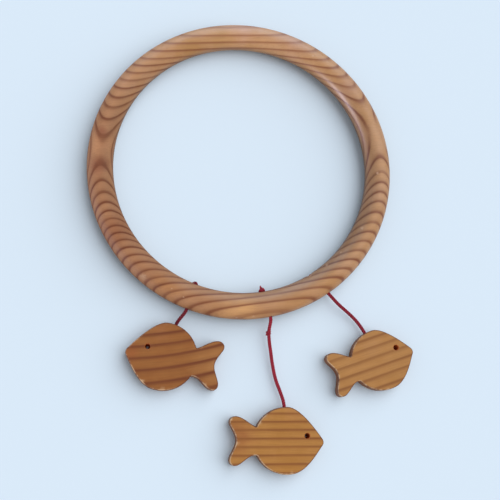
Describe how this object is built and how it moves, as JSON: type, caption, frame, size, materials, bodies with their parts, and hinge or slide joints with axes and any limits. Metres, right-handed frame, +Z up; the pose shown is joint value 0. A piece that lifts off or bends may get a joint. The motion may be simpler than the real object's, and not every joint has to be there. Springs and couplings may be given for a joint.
{
  "type": "hanging mobile",
  "caption": "Turned wooden ring with flat wooden fish hanging from it on short red cords, laid out flat on a table.",
  "frame": {"origin": "where a wall nail carries the ring: under the middle of its inner edge at the top, on the plane that the mobile lies on", "axes": "+Z up from the table, along the ring's axis; +Y from the fish towards the top of the ring; +X to the right as the mobile is seen from the front"},
  "size_m": [0.2115, 0.296, 0.015],
  "materials": {
    "ring_wood": "satin varnished pine, growth lines showing, small chips",
    "dark_fish_wood": "satin stained pine, brown, worn pale at the edges",
    "fish_wood": "satin varnished pine, growth lines along the fish",
    "red_cord": "matt twisted cotton, dark red"
  },
  "bodies": {
    "root": {"ring": "ring_wood", "fish_left": "dark_fish_wood", "fish_middle": "fish_wood", "fish_right": "fish_wood", "cord_left": "red_cord", "cord_middle": "red_cord", "cord_right": "red_cord", "knot_left": "red_cord", "knot_middle": "red_cord", "knot_right": "red_cord", "knot_hitch": "red_cord"}
  },
  "joints": []
}
